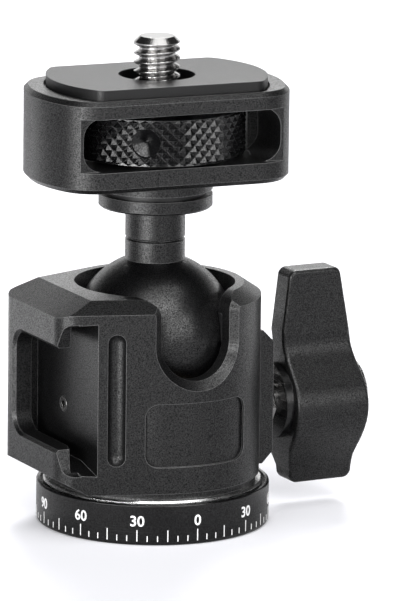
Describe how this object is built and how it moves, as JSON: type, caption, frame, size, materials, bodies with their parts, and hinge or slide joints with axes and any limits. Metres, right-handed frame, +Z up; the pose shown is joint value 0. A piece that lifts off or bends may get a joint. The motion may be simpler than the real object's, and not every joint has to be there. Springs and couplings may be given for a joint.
{
  "type": "tripod ball head",
  "caption": "Compact camera ball head with a panning base, drop notch, side accessory shoe, wing locking knob and a thumb-wheel camera screw.",
  "frame": {"origin": "centre of the base thread's mouth, on the face that rests on the tripod", "axes": "+Z up through the camera screw, -Y towards the drop notch (front), +X along the locking knob's axis, -X towards the accessory shoe"},
  "size_m": [0.0499, 0.0322, 0.0678],
  "materials": {
    "housing_black": "bead-blasted, black anodised",
    "base_black": "turned, satin black anodised",
    "ball_black": "fine bead-blasted, black anodised",
    "platform_black": "bead-blasted, black anodised",
    "wheel_black": "diamond-knurled, black anodised",
    "knob_black": "milled, matt black anodised",
    "trim_black": "turned, black anodised",
    "pad_black": "matt, fine grain",
    "stainless": "turned stainless steel",
    "polished": "polished",
    "spring_steel": "bright spring steel",
    "bearing_brass": "turned",
    "acetal_grey": "smooth acetal"
  },
  "bodies": {
    "base": {"base_plate": "base_black", "thread_bush": "stainless", "pan_ring": "polished", "pan_washer": "acetal_grey", "pan_nut": "bearing_brass"},
    "housing": {"housing": "housing_black", "floor_plate": "trim_black", "seat_ring": "acetal_grey", "cup_spring": "spring_steel", "shoe_screw": "stainless", "hex_bush": "stainless"},
    "cup": {"ball_cup": "bearing_brass"},
    "liner": {"ball_liner": "acetal_grey"},
    "stem": {"ball_stem": "ball_black", "flange_washer": "acetal_grey", "stem_screw": "stainless"},
    "platform": {"platform_body": "platform_black", "top_pad": "pad_black", "wheel_washer": "acetal_grey"},
    "wheel": {"thumb_wheel": "wheel_black", "camera_screw": "stainless"},
    "plunger": {"lock_plunger": "stainless"},
    "knob": {"wing_knob": "knob_black", "knob_shaft": "stainless", "knob_collar": "trim_black", "knob_screw": "stainless", "knob_cap": "polished"}
  },
  "joints": [
    {"name": "pan", "type": "hinge", "parent": "base", "child": "housing", "pos_m": [0, 0, 0], "axis": [0, 0, 1], "continuous": true},
    {"name": "side_tilt", "type": "hinge", "parent": "housing", "child": "liner", "pos_m": [0, 0, 0.0264], "axis": [0, 1, 0], "range_deg": [-27, 27]},
    {"name": "front_tilt", "type": "hinge", "parent": "liner", "child": "stem", "pos_m": [0, 0, 0.0264], "axis": [1, 0, 0], "range_deg": [-26, 90]},
    {"name": "platform_swivel", "type": "hinge", "parent": "stem", "child": "platform", "pos_m": [0, 0, 0.046], "axis": [0, 0, 1], "continuous": true},
    {"name": "wheel_spin", "type": "hinge", "parent": "platform", "child": "wheel", "pos_m": [0, 0, 0.055], "axis": [0, 0, 1], "continuous": true},
    {"name": "plunger_feed", "type": "slide", "parent": "housing", "child": "plunger", "axis": [1, 0, 0], "range_m": [0, 0.00076]},
    {"name": "knob_turn", "type": "hinge", "parent": "plunger", "child": "knob", "pos_m": [0.02, 0, 0.0149], "axis": [1, 0, 0], "range_deg": [0, 270]},
    {"name": "cup_drop", "type": "slide", "parent": "housing", "child": "cup", "axis": [0, 0, -1], "range_m": [0, 0.00076], "deforming": ["cup_spring"]}
  ],
  "couplings": [
    {"joint": "plunger_feed", "follows": "knob_turn", "m_per_rad": 0.00015915},
    {"joint": "cup_drop", "follows": "knob_turn", "m_per_rad": 0.00015915}
  ]
}
